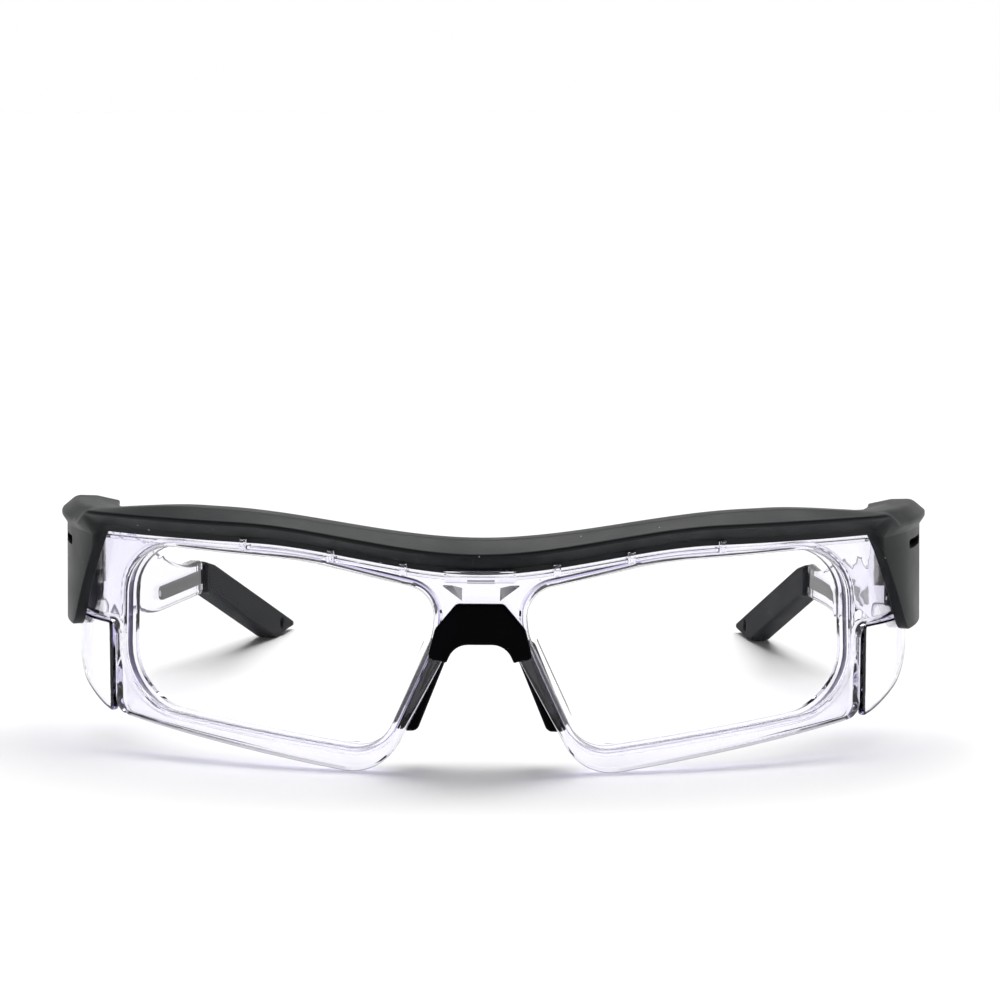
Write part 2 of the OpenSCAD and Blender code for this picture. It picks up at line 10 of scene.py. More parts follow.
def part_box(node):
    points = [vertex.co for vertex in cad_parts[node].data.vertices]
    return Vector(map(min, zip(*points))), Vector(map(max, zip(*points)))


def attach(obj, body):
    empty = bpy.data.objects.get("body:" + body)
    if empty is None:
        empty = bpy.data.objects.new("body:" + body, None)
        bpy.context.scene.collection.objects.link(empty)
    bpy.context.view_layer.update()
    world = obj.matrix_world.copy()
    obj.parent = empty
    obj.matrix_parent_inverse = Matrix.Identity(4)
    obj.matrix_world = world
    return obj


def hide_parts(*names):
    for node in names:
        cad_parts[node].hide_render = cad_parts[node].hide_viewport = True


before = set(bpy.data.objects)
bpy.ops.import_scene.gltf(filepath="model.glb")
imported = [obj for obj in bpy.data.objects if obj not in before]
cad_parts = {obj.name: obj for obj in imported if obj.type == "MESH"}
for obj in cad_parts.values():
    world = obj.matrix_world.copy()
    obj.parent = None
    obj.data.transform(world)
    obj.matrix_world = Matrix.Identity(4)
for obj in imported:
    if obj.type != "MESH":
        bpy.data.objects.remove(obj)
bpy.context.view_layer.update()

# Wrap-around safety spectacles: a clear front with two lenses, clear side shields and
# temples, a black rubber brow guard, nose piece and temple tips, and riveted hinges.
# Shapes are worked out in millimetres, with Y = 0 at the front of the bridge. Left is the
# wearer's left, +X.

# Driving sizes, in millimetres and degrees. The front is a wide arc from above, with a
# tighter one along each wing
FRONT_W = 127.8
FRONT_R = 105.0
WING_R = 42.0
WING_START = 52.0
WING_END = 84.0
# The brow line is low over the nose and rises to the sides
BROW_Z = 33.3
BROW_RISE = 4.1
BROW_SPAN = 38.0
# Clear front, lenses and shields
RAIL_H = 1.9
BRIDGE_W = 16.0
SIDE_RIM = 2.2
LIP_T = 1.0
LENS_T = 2.2
LENS_SEAT = 0.8
SEAT_GAP = 0.05
RIM_T = 4.2
WING_T = 3.0
SHIELD_T = 1.6
END_PIECE_H = 15.4
MOULD_GAP = 0.15
# Brow guard, with its flaps
RIDGE_OUT = 4.5
WING_RIDGE = 2.9
GUARD_H = 5.8
DAM_DEPTH = 7.0
FLAP_T = 1.9
FLAP_GAP = 0.3
FLAP_DROP = 17.7
FLAP_EDGE = 68.0
FLAP_PAST = 2.5
# Temples, their tips and the cord hole
TEMPLE_LEN = 112.6
BEND_AT = 62.6
LEAN = 11.8
TEMPLE_T = 3.0
TIP_T = 4.4
PIN_OFF = 1.75
CORD_HOLE_R = 1.1

# Places that follow from them. A name in U is a distance along the wrap-around surface from
# its middle, one in A an angle from straight ahead, and C is the centre of the wing's arc
FOLD_X = FRONT_W / 2
FOLD_Y = FRONT_R - math.sqrt(FRONT_R ** 2 - FOLD_X ** 2)
FOLD_ANGLE = math.asin(FOLD_X / FRONT_R)
FOLD_U = FRONT_R * FOLD_ANGLE
WING_A0 = math.radians(WING_START)
WING_A1 = math.radians(WING_END)
WING_C = (FOLD_X - WING_R * math.sin(WING_A0), FOLD_Y + WING_R * math.cos(WING_A0))
HINGE_U = FOLD_U + WING_R * (WING_A1 - WING_A0)
HINGE_Y = WING_C[1] - WING_R * math.cos(WING_A1)
END_Z = BROW_Z + BROW_RISE
RAIL_TOP = END_Z + RAIL_H
END_PIECE_Z = END_Z - END_PIECE_H
HINGE_Z = END_Z - 6.4
LENS_IN = BRIDGE_W / 2
ARM_MID = 18.6
ARM_HALF = 3.3
ARM_END = BEND_AT - 5.6
TEMPLE_MID = PIN_OFF + TEMPLE_T / 2

# Half the run over which the front turns into a wing
CREASE = 2.5
# Edges that turn more than this stay crisp, in degrees
CRISP = 38

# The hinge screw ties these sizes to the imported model
screw_low, screw_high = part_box("hinge_screw_left")
PIN_X = 500 * (screw_low.x + screw_high.x)
PIN_ROW_Y = 500 * (screw_low.y + screw_high.y)
MID_Y = HINGE_Y - PIN_ROW_Y


# ---------------------------------------------------------------- curves and outlines

def mix(a, b, t):
    return a + (b - a) * t


def ease(t):
    c = min(max(t, 0.0), 1.0)
    return c * c * (3 - 2 * c)


def brow_line(x):
    return BROW_Z + BROW_RISE * ease(abs(x) / BROW_SPAN)


def side_normals(loop):
    """Outward unit normals of the sides of a counter-clockwise loop."""
    along = np.roll(loop, -1, axis=0) - loop
    along /= np.maximum(np.linalg.norm(along, axis=1), 1e-9)[:, None]
    return np.column_stack([along[:, 1], -along[:, 0]])


def offset(loop, out):
    """The same closed loop moved outwards by a distance."""
    loop = np.asarray(loop, float)
    after = side_normals(loop)
    before = np.roll(after, 1, axis=0)
    both = before + after
    scale = np.maximum(1 + np.sum(before * after, axis=1), 0.6)
    return loop + out * both / scale[:, None]


def rounded(corners, steps=8):
    """A closed loop from corners (a, b, radius), each turned into an arc."""
    points = []
    for i, (a, b, radius) in enumerate(corners):
        here = np.array((a, b), float)
        before = np.array(corners[i - 1][:2], float)
        after = np.array(corners[(i + 1) % len(corners)][:2], float)
        if radius <= 0:
            points.append(here)
            continue
        d1 = (here - before) / np.linalg.norm(here - before)
        d2 = (after - here) / np.linalg.norm(after - here)
        n1 = np.array((d1[1], -d1[0]))
        n2 = np.array((d2[1], -d2[0]))
        turn = 1 if n1[0] * n2[1] - n1[1] * n2[0] >= 0 else -1
        middle = here - turn * radius * (n1 + n2) / (1 + n1 @ n2)
        a1 = math.atan2(turn * n1[1], turn * n1[0])
        sweep = math.atan2(turn * n2[1], turn * n2[0]) - a1
        sweep = (sweep + math.pi) % (2 * math.pi) - math.pi
        for k in range(steps + 1):
            angle = a1 + sweep * k / steps
            points.append(middle + radius * np.array((math.cos(angle), math.sin(angle))))
    return np.array(points)


def dense(loop, step):
    """The loop with its long sides divided."""
    points = []
    for here, after in zip(loop, np.roll(loop, -1, axis=0)):
        count = max(1, math.ceil(np.linalg.norm(after - here) / step))
        points += [mix(here, after, k / count) for k in range(count)]
    return np.array(points)


def inside(points, loop):
    """True for each point that lies inside the loop."""
    x, y = points[:, 0][:, None], points[:, 1][:, None]
    ax, ay = loop[:, 0][None], loop[:, 1][None]
    bx, by = np.roll(loop, -1, axis=0).T[:, None]
    crosses = (ay > y) != (by > y)
    with np.errstate(divide="ignore", invalid="ignore"):
        at = ax + (y - ay) * (bx - ax) / (by - ay)
    return np.sum(crosses & (x < at), axis=1) % 2 == 1


def clearance(points, loop):
    """The distance from each point to the loop."""
    a = loop[None]
    ab = np.roll(loop, -1, axis=0)[None] - a
    ap = points[:, None] - a
    t = np.sum(ap * ab, axis=2) / np.maximum(np.sum(ab * ab, axis=2), 1e-12)
    nearest = a + np.clip(t, 0, 1)[..., None] * ab
    return np.linalg.norm(points[:, None] - nearest, axis=2).min(axis=1)


def round_edge(thick, radius, steps=4, deep=None):
    """Rings (distance in from the edge, depth) round both edges of a wall."""
    deep = deep or radius
    turn = [math.pi / 2 * k / steps for k in range(steps + 1)]
    front = [(radius * (1 - math.sin(a)), deep * (1 - math.cos(a))) for a in turn]
    return front + [(i, thick - d) for i, d in reversed(front)]


# ---------------------------------------------------------------- places

def wrap(u, z, depth):
    """A point on the wrap-around surface: u along it from the middle, depth inwards."""
    side = 1 if u >= 0 else -1
    run = abs(u)
    if run <= FOLD_U:
        angle = run / FRONT_R
        x, y = FRONT_R * math.sin(angle), FRONT_R * (1 - math.cos(angle))
    else:
        angle = WING_A0 + (run - FOLD_U) / WING_R
        x, y = WING_C[0] + WING_R * math.sin(angle), WING_C[1] - WING_R * math.cos(angle)
    lean = mix(run / FRONT_R, WING_A0 + (run - FOLD_U) / WING_R,
               ease((run - FOLD_U + CREASE) / (2 * CREASE)))
    return (side * (x - depth * math.sin(lean)), y + depth * math.cos(lean), z)


def wrap_u(x):
    """The run along the front surface to a distance from the middle."""
    return math.copysign(FRONT_R * math.asin(abs(x) / FRONT_R), x)


def wing_u(y):
    """The run along the wing to a distance behind the bridge."""
    return FOLD_U + WING_R * (math.acos((WING_C[1] - y) / WING_R) - WING_A0)


def arm_place(side):
    """Places a point of an open temple: along it, height, and depth in from its outside."""
    lean = math.radians(LEAN)

    def place(along, z, depth, outer=PIN_OFF + TEMPLE_T):
        out = outer - depth
        x = PIN_X + out * math.cos(lean) - along * math.sin(lean)
        y = HINGE_Y + out * math.sin(lean) + along * math.cos(lean)
        return (side * x, y, z)
    return place


# ---------------------------------------------------------------- meshes

def make_piece(name, points, faces, body, slot, material, stands_for, weighted=True):
    """A closed mesh from points in millimetres, which stands for a node of the frame.
    Weighted evens out the shading over its large faces."""
    mesh = closed_mesh(name, points, faces)
    mesh.materials.append(material)
    piece = bpy.data.objects.new(name, mesh)
    bpy.context.scene.collection.objects.link(piece)
    if weighted:
        finish_shading(piece)
    else:
        smooth(mesh)
    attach(piece, body)
    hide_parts(stands_for)
    return piece


def closed_mesh(name, points, faces):
    """A mesh from points in millimetres, with its faces turned outwards."""
    mesh = bpy.data.meshes.new(name)
    mesh.from_pydata([(x / 1000, (y - MID_Y) / 1000, z / 1000) for x, y, z in points], [], faces)
    shape = bmesh.new()
    shape.from_mesh(mesh)
    bmesh.ops.recalc_face_normals(shape, faces=shape.faces)
    shape.to_mesh(mesh)
    shape.free()
    return mesh


def carve(piece, points, faces, operation="DIFFERENCE"):
    """Cuts a closed shape out of a piece, or joins it on."""
    tool = bpy.data.objects.new("tool", closed_mesh("tool", points, faces))
    bpy.context.scene.collection.objects.link(tool)
    for kept in list(piece.modifiers):
        piece.modifiers.remove(kept)
    change = piece.modifiers.new("change", "BOOLEAN")
    change.object = tool
    change.operation = operation
    change.solver = "EXACT"
    bpy.context.view_layer.update()
    drawn = piece.evaluated_get(bpy.context.evaluated_depsgraph_get())
    mesh = bpy.data.meshes.new_from_object(drawn)
    piece.modifiers.clear()
    piece.data = mesh
    bpy.data.objects.remove(tool)


def smooth(mesh):
    """Smooth faces with crisp edges."""
    mesh.polygons.foreach_set("use_smooth", [True] * len(mesh.polygons))
    mesh.set_sharp_from_angle(angle=math.radians(CRISP))


def finish_shading(piece):
    """Smooth faces with crisp edges, evened out over the large faces."""
    smooth(piece.data)
    level = piece.modifiers.new("even shading", "WEIGHTED_NORMAL")
    level.keep_sharp = True


def swept(rings, count):
    """Faces between rings of points that follow one another in the list."""
    faces = []
    for ring in range(rings - 1):
        a, b = ring * count, (ring + 1) * count
        for k in range(count):
            n = (k + 1) % count
            faces.append((a + k, a + n, b + n, b + k))
    return faces


def capped(rings, count):
    """The same faces, with a flat one across the first ring and the last."""
    last = (rings - 1) * count
    ends = [tuple(range(count)), tuple(last + k for k in range(count))]
    return swept(rings, count) + ends


def bar(profile, half):
    """A bar across the middle from its (depth, height) profile and half its length."""
    points = [(x, y, z) for x in (-half, half) for y, z in profile]
    return points, capped(2, len(profile))


# Points of a flat outline nearer than this count as one, in mm, and regions whose largest
# triangle is smaller than this are dropped, in square mm
MERGE = 1e-7
SLIVER = 1e-5


def fill(loops, spots, holes):
    """Triangles between the first loop and the holes. The loops' own edges are kept, and
    they part the triangles into regions, each of which is kept or dropped as a whole."""
    flat = np.vstack(list(loops) + ([spots] if len(spots) else []))
    edges, start = [], 0
    for loop in loops:
        count = len(loop)
        edges += [(start + k, start + (k + 1) % count) for k in range(count)]
        start += count
    made = delaunay_2d_cdt([Vector(p) for p in flat], edges, [], 0, MERGE)
    origin = [o[0] if o else -1 for o in made[3]]
    triangles = [tuple(origin[k] for k in f) for f in made[2]]
    walls = {frozenset(e) for e in edges}
    beside = {}
    for t, triangle in enumerate(triangles):
        for k in range(3):
            side = frozenset((triangle[k], triangle[k - 1]))
            if side not in walls:
                beside.setdefault(side, []).append(t)
    region = list(range(len(triangles)))

    def root(t):
        while region[t] != t:
            region[t] = region[region[t]]
            t = region[t]
        return t
    for pair in beside.values():
        if len(pair) == 2:
            region[root(pair[0])] = root(pair[1])
    corner = flat[np.array(triangles)]
    along, across = corner[:, 1] - corner[:, 0], corner[:, 2] - corner[:, 0]
    size = np.abs(along[:, 0] * across[:, 1] - along[:, 1] * across[:, 0])
    middle = corner.mean(axis=1)
    within = inside(middle, loops[0])
    for hole in holes:
        within &= ~inside(middle, hole)
    largest = {}
    for t in range(len(triangles)):
        best = largest.setdefault(root(t), t)
        if size[t] > size[best]:
            largest[root(t)] = t
    real = within & (size > SLIVER)
    return [triangles[t] for t in range(len(triangles)) if real[largest[root(t)]]]


def spread(outer, holes, margin, step):
    """Spots in a triangular pattern inside a loop, clear of its edge and of its holes."""
    low, high = outer.min(axis=0), outer.max(axis=0)
    row_step = step * 0.87
    rows = np.arange(low[1], high[1], row_step)
    spots = []
    for k, b in enumerate(rows):
        for a in np.arange(low[0] + step * 0.5 * (k % 2), high[0], step):
            spots.append((a, b))
    spots = np.array(spots)
    keep = inside(spots, outer) & (clearance(spots, outer) > margin)
    for hole in holes:
        keep &= ~inside(spots, hole) & (clearance(spots, hole) > margin)
    return spots[keep]


def plate(outline, rim, holes=(), hole_rim=(), ridges=(), place=wrap, step=1.7):
    """A plate with rounded edges. Rims are rings (distance into the plate, depth) from its
    front edge to its back edge, and ridges are rings (loop, depth) on its front face."""
    outline = np.asarray(outline, float)
    holes = [np.asarray(h, float) for h in holes]
    walls = [(outline, [(-i, d) for i, d in rim])]
    walls += [(h, list(hole_rim)) for h in holes]
    points, faces, rings = [], [], []
    for loop, stages in walls:
        own = []
        for out, depth in stages:
            ring = offset(loop, out)
            own.append((len(points), ring, depth))
            points += [(a, b, depth) for a, b in ring]
        count = len(loop)
        for (first, _, _), (second, _, _) in zip(own, own[1:]):
            for k in range(count):
                n = (k + 1) % count
                faces.append((first + k, first + n, second + n, second + k))
        rings.append(own)
    for end, extra in ((0, ridges), (-1, ())):
        base = rings[0][end][2]
        loops = [own[end][1] for own in rings]
        index = [own[end][0] + k for own in rings for k in range(len(own[end][1]))]
        for loop, depth in extra:
            index += list(range(len(points), len(points) + len(loop)))
            points += [(a, b, depth) for a, b in loop]
            loops.append(loop)
        spots = spread(loops[0], loops[1:], step * 0.6, step)
        index += list(range(len(points), len(points) + len(spots)))
        points += [(a, b, base) for a, b in spots]
        triangles = fill(loops, spots, [own[end][1] for own in rings[1:]])
        faces += [tuple(index[k] for k in t) for t in triangles]
    return [place(*p) for p in points], faces


def mirrored(points):
    return [(-x, y, z) for x, y, z in points]


def side_name(side):
    return "left" if side > 0 else "right"


def joined(*parts):
    """Several (points, faces) as one."""
    points, faces = [], []
    for some, others in parts:
        faces += [tuple(k + len(points) for k in f) for f in others]
        points += list(some)
    return points, faces


# ---------------------------------------------------------------- finishes

def new_group(name, inputs, outputs):
    group = bpy.data.node_groups.new(name, "ShaderNodeTree")
    for kind, label, value in inputs:
        socket = group.interface.new_socket(label, in_out="INPUT", socket_type=kind)
        socket.default_value = value
    for kind, label in outputs:
        group.interface.new_socket(label, in_out="OUTPUT", socket_type=kind)
    start = group.nodes.new("NodeGroupInput")
    end = group.nodes.new("NodeGroupOutput")
    return group, start, end


def add_node(tree, kind, settings=(), **values):
    node = tree.nodes.new(kind)
    for key, value in dict(settings).items():
        setattr(node, key, value)
    for label, value in values.items():
        node.inputs[label.replace("_", " ")].default_value = value
    return node


def step_node(tree, source, low, high, to_low=0.0, to_high=1.0):
    """Carries a value from the range low to high over to another range, and holds it there."""
    node = tree.nodes.new("ShaderNodeMapRange")
    node.inputs["From Min"].default_value = low
    node.inputs["From Max"].default_value = high
    node.inputs["To Min"].default_value = to_low
    node.inputs["To Max"].default_value = to_high
    tree.links.new(source, node.inputs["Value"])
    return node.outputs["Result"]


def calc(tree, operation, first, second):
    node = tree.nodes.new("ShaderNodeMath")
    node.operation = operation
    for socket, value in zip(node.inputs, (first, second)):
        if isinstance(value, (int, float)):
            socket.default_value = value
        else:
            tree.links.new(value, socket)
    return node.outputs[0]


def blend_colour(tree, factor, first, second):
    node = tree.nodes.new("ShaderNodeMix")
    node.data_type = "RGBA"
    factor_socket, first_socket, second_socket = (node.inputs[k] for k in (0, 6, 7))
    for socket, value in ((factor_socket, factor), (first_socket, first), (second_socket, second)):
        if isinstance(value, (int, float, tuple)):
            socket.default_value = value
        else:
            tree.links.new(value, socket)
    return node.outputs[2]


def dust_group():
    """Small separate specks of lint and dust."""
    group, start, end = new_group(
        "dust", [("NodeSocketFloat", "Scale", 900.0), ("NodeSocketFloat", "Amount", 0.1)],
        [("NodeSocketFloat", "Mask")])
    where = add_node(group, "ShaderNodeTexCoord")
    cells = add_node(group, "ShaderNodeTexVoronoi", {"feature": "F1"}, Randomness=1.0)
    group.links.new(where.outputs["Object"], cells.inputs["Vector"])
    group.links.new(start.outputs["Scale"], cells.inputs["Scale"])
    shade = add_node(group, "ShaderNodeSeparateColor")
    group.links.new(cells.outputs["Color"], shade.inputs["Color"])
    chosen = calc(group, "LESS_THAN", shade.outputs["Red"], start.outputs["Amount"])
    largest_speck = 0.2
    size = calc(group, "MULTIPLY", shade.outputs["Green"], largest_speck)
    near = calc(group, "LESS_THAN", cells.outputs["Distance"], size)
    group.links.new(calc(group, "MULTIPLY", chosen, near), end.inputs["Mask"])
    return group


def skin_group():
    """Moulded rubber: fine grain, soft blotches and dust."""
    group, start, end = new_group(
        "rubber skin",
        [("NodeSocketColor", "Colour", (0.02, 0.02, 0.02, 1)),
         ("NodeSocketColor", "Worn colour", (0.06, 0.06, 0.06, 1)),
         ("NodeSocketFloat", "Grain scale", 3000.0), ("NodeSocketFloat", "Matt", 0.4),
         ("NodeSocketFloat", "Dust", 0.1)],
        [("NodeSocketColor", "Colour"), ("NodeSocketFloat", "Roughness"),
         ("NodeSocketFloat", "Height")])
    where = add_node(group, "ShaderNodeTexCoord")
    grain = add_node(group, "ShaderNodeTexNoise", Detail=4.0, Roughness=0.65)
    group.links.new(where.outputs["Object"], grain.inputs["Vector"])
    group.links.new(start.outputs["Grain scale"], grain.inputs["Scale"])
    blotch = add_node(group, "ShaderNodeTexNoise", Scale=110.0, Detail=5.0, Roughness=0.6)
    group.links.new(where.outputs["Object"], blotch.inputs["Vector"])
    dust = add_node(group, "ShaderNodeGroup", {"node_tree": bpy.data.node_groups["dust"]}, Scale=1100.0)
    group.links.new(start.outputs["Dust"], dust.inputs["Amount"])
    worn = step_node(group, blotch.outputs["Fac"], 0.42, 0.72, 0.0, 0.5)
    base = blend_colour(group, worn, start.outputs["Colour"], start.outputs["Worn colour"])
    colour = blend_colour(group, dust.outputs["Mask"], base, (0.34, 0.34, 0.33, 1))
    group.links.new(colour, end.inputs["Colour"])
    vary = step_node(group, blotch.outputs["Fac"], 0.3, 0.7, -0.06, 0.06)
    group.links.new(calc(group, "ADD", start.outputs["Matt"], vary), end.inputs["Roughness"])
    raised = calc(group, "ADD", grain.outputs["Fac"], dust.outputs["Mask"])
    group.links.new(raised, end.inputs["Height"])
    return group


def brushed_group():
    """Satin metal with fine lines along Z and dull patches."""
    group, start, end = new_group(
        "brushed metal",
        [("NodeSocketColor", "Colour", (0.6, 0.6, 0.6, 1)),
         ("NodeSocketColor", "Dull colour", (0.3, 0.3, 0.3, 1)), ("NodeSocketFloat", "Matt", 0.3)],
        [("NodeSocketColor", "Colour"), ("NodeSocketFloat", "Roughness"),
         ("NodeSocketFloat", "Height")])
    where = add_node(group, "ShaderNodeTexCoord")
    squeeze = add_node(group, "ShaderNodeMapping", Scale=(6000.0, 6000.0, 500.0))
    group.links.new(where.outputs["Object"], squeeze.inputs["Vector"])
    lines = add_node(group, "ShaderNodeTexNoise", Scale=1.0, Detail=3.0)
    group.links.new(squeeze.outputs["Vector"], lines.inputs["Vector"])
    patches = add_node(group, "ShaderNodeTexNoise", Scale=700.0, Detail=4.0)
    group.links.new(where.outputs["Object"], patches.inputs["Vector"])
    dull = step_node(group, patches.outputs["Fac"], 0.45, 0.75)
    group.links.new(blend_colour(group, dull, start.outputs["Colour"], start.outputs["Dull colour"]),
                    end.inputs["Colour"])
    rough = calc(group, "ADD", start.outputs["Matt"], calc(group, "MULTIPLY", dull, 0.25))
    group.links.new(rough, end.inputs["Roughness"])
    group.links.new(lines.outputs["Fac"], end.inputs["Height"])
    return group


def new_material(name):
    material = bpy.data.materials.new(name)
    material.use_nodes = True
    tree = material.node_tree
    tree.nodes.clear()
    out = tree.nodes.new("ShaderNodeOutputMaterial")
    shader = tree.nodes.new("ShaderNodeBsdfPrincipled")
    return material, tree, shader, out


def bumped(tree, shader, height, strength, deep):
    """Turns a height into relief on the surface. Deep is its full depth in metres."""
    bump = add_node(tree, "ShaderNodeBump", Strength=strength, Distance=deep)
    tree.links.new(height, bump.inputs["Height"])
    tree.links.new(bump.outputs["Normal"], shader.inputs["Normal"])


def rubber(name, colour, worn, matt, shine, grain, dust, bump):
    """Moulded rubber. Matt is its mean roughness and shine its specular level."""
    material, tree, shader, out = new_material(name)
    skin = add_node(tree, "ShaderNodeGroup", {"node_tree": bpy.data.node_groups["rubber skin"]},
                    Colour=(*colour, 1), Worn_colour=(*worn, 1), Grain_scale=grain, Matt=matt, Dust=dust)
    tree.links.new(skin.outputs["Colour"], shader.inputs["Base Color"])
    tree.links.new(skin.outputs["Roughness"], shader.inputs["Roughness"])
    bumped(tree, shader, skin.outputs["Height"], strength=bump, deep=0.00012)
    shader.inputs["Specular IOR Level"].default_value = shine
    tree.links.new(shader.outputs["BSDF"], out.inputs["Surface"])
    return material


def metal(name, colour, dull, matt):
    material, tree, shader, out = new_material(name)
    shader.inputs["Metallic"].default_value = 1.0
    lines = add_node(tree, "ShaderNodeGroup", {"node_tree": bpy.data.node_groups["brushed metal"]},
                     Colour=(*colour, 1), Dull_colour=(*dull, 1), Matt=matt)
    tree.links.new(lines.outputs["Colour"], shader.inputs["Base Color"])
    tree.links.new(lines.outputs["Roughness"], shader.inputs["Roughness"])
    bumped(tree, shader, lines.outputs["Height"], strength=0.25, deep=0.00002)
    tree.links.new(shader.outputs["BSDF"], out.inputs["Surface"])
    return material


def clear_plastic(name, tint, density, bend, smear, dust):
    """Polished polycarbonate. Its depth tints it, and lamps shine through it. Bend is the
    refractive index, kept low where a coating quiets the reflections."""
    material, tree, shader, out = new_material(name)
    shader.inputs["Base Color"].default_value = (1, 1, 1, 1)
    shader.inputs["IOR"].default_value = bend
    shader.inputs["Transmission Weight"].default_value = 1.0
    specks = add_node(tree, "ShaderNodeGroup", {"node_tree": bpy.data.node_groups["dust"]},
                      Scale=420.0, Amount=dust)
    where = add_node(tree, "ShaderNodeTexCoord")
    flow = add_node(tree, "ShaderNodeTexNoise", Scale=60.0, Detail=2.0)
    tree.links.new(where.outputs["Object"], flow.inputs["Vector"])
    film = step_node(tree, flow.outputs["Fac"], 0.5, 0.8, 0.0, smear)
    spot = calc(tree, "MULTIPLY", specks.outputs["Mask"], 0.5)
    tree.links.new(calc(tree, "ADD", film, spot), shader.inputs["Roughness"])
    colour = blend_colour(tree, specks.outputs["Mask"], (1, 1, 1, 1), (0.45, 0.45, 0.45, 1))
    tree.links.new(colour, shader.inputs["Base Color"])
    bumped(tree, shader, flow.outputs["Fac"], strength=0.15, deep=0.0001)
    light = add_node(tree, "ShaderNodeLightPath")
    open_way = tree.nodes.new("ShaderNodeBsdfTransparent")
    open_way.inputs["Color"].default_value = (0.93, 0.93, 0.97, 1)
    either = tree.nodes.new("ShaderNodeMixShader")
    tree.links.new(light.outputs["Is Shadow Ray"], either.inputs[0])
    tree.links.new(shader.outputs["BSDF"], either.inputs[1])
    tree.links.new(open_way.outputs["BSDF"], either.inputs[2])
    tree.links.new(either.outputs["Shader"], out.inputs["Surface"])
    depth = tree.nodes.new("ShaderNodeVolumeAbsorption")
    depth.inputs["Color"].default_value = (*tint, 1)
    depth.inputs["Density"].default_value = density
    tree.links.new(depth.outputs["Volume"], out.inputs["Volume"])
    return material


def ground_edge(name, colour, matt, bend):
    """The matt edge of a coated lens."""
    material, tree, shader, out = new_material(name)
    shader.inputs["Base Color"].default_value = (*colour, 1)
    shader.inputs["Roughness"].default_value = matt
    shader.inputs["IOR"].default_value = bend
    shader.inputs["Transmission Weight"].default_value = 1.0
    tree.links.new(shader.outputs["BSDF"], out.inputs["Surface"])
    return material


dust_group()
skin_group()
brushed_group()
VIOLET = (0.3, 0.2, 0.75)
LENS_BEND = 1.16
CLEAR_FRAME = clear_plastic("clear_front_plastic", VIOLET, density=36.0, bend=1.46, smear=0.02,
                            dust=0.012)
CLEAR_ARM = clear_plastic("clear_temple_plastic", VIOLET, density=30.0, bend=1.35, smear=0.03,
                          dust=0.012)
CLEAR_LENS = clear_plastic("clear_lens_plastic", (0.5, 0.55, 0.6), density=5.0, bend=LENS_BEND,
                           smear=0.0, dust=0.006)
LENS_EDGE = ground_edge("lens_edge_coating", (0.36, 0.3, 0.68), matt=0.35, bend=LENS_BEND)
GUARD_RUBBER = rubber("brow_guard_rubber", (0.0045, 0.006, 0.0065), (0.011, 0.015, 0.016),
                      matt=0.45, shine=0.2, grain=2600.0, dust=0.04, bump=0.3)
NOSE_RUBBER = rubber("nose_rubber", (0.0012, 0.0013, 0.0018), (0.003, 0.0035, 0.005),
                     matt=0.5, shine=0.03, grain=3200.0, dust=0.012, bump=0.2)
TIP_RUBBER = rubber("tip_rubber", (0.004, 0.0048, 0.008), (0.01, 0.012, 0.018),
                    matt=0.6, shine=0.06, grain=3200.0, dust=0.05, bump=0.2)
HINGE_METAL = metal("hinge_nickel_silver", (0.66, 0.65, 0.62), (0.4, 0.39, 0.37), matt=0.28)
SCREW_METAL = metal("screw_steel", (0.5, 0.5, 0.52), (0.25, 0.25, 0.26), matt=0.25)
RIVET_METAL = metal("rivet_steel", (0.45, 0.45, 0.47), (0.1, 0.1, 0.11), matt=0.3)
WIRE_METAL = metal("core_wire_steel", (0.62, 0.62, 0.64), (0.4, 0.4, 0.42), matt=0.3)


# ---------------------------------------------------------------- clear front and lenses

# The left lens opening from the front, as (across, height, radius)
LENS_CORNERS = [
    (LENS_IN + 8.8, 3.6, 7),
    (FOLD_X - SIDE_RIM, 9.0, 10),
    (FOLD_X - SIDE_RIM - 0.8, END_Z - 1.4, 9),
    (mix(LENS_IN, FOLD_X, 0.39), BROW_Z + 1.6, 60),
    (LENS_IN - 0.8, BROW_Z - 3.1, 5),
    (LENS_IN, BROW_Z - 10.3, 8),
]


# The rims round the lens openings stand this far proud of the front's face
STEP_DOWN = 0.45
# The arch of the bridge springs here, and half its width there
ARCH_CREST = BROW_Z - 9.1
ARCH_TIP = LENS_IN - 4.5
# The outer lower corner of the nose side
FOOT_X = LENS_IN + 8.9
FOOT_Z = -0.87
CROWN_STEPS = 14

# Ledge and teeth along the guard's lower edge. Heights are from the brow line, out is how
# far they stand out of the front and sunk how far they reach into it
LEDGE_OUT = 1.0
LEDGE_LOW = -1.08
LEDGE_HIGH = -0.45
LEDGE_SUNK = 0.4
TOOTH_AT = (0, -12.4, 12.4, -24.3, 24.3, -39, 39)
TOOTH_W = 1.2
MIDDLE_TOOTH_W = 11.7
TOOTH_OUT = 1.8
TOOTH_T = 0.6
TOOTH_LOW = -1.2
TOOTH_HIGH = 0.7
TOOTH_FOOT = -0.35
TOOTH_SUNK = 0.5
SOFT = 0.15

# Undercut behind the bridge, and the nose piece's latch through it
UNDERCUT_D = 0.65
UNDERCUT_HALF = 2.25
LATCH_Z = BROW_Z - 6.8
LATCH_GAP = 0.1
LATCH_H = 0.8
LATCH_HALF = 2.0


def lens_opening():
    flat = dense(rounded(LENS_CORNERS, 10), 1.2)
    return np.array([(wrap_u(x), z) for x, z in flat])


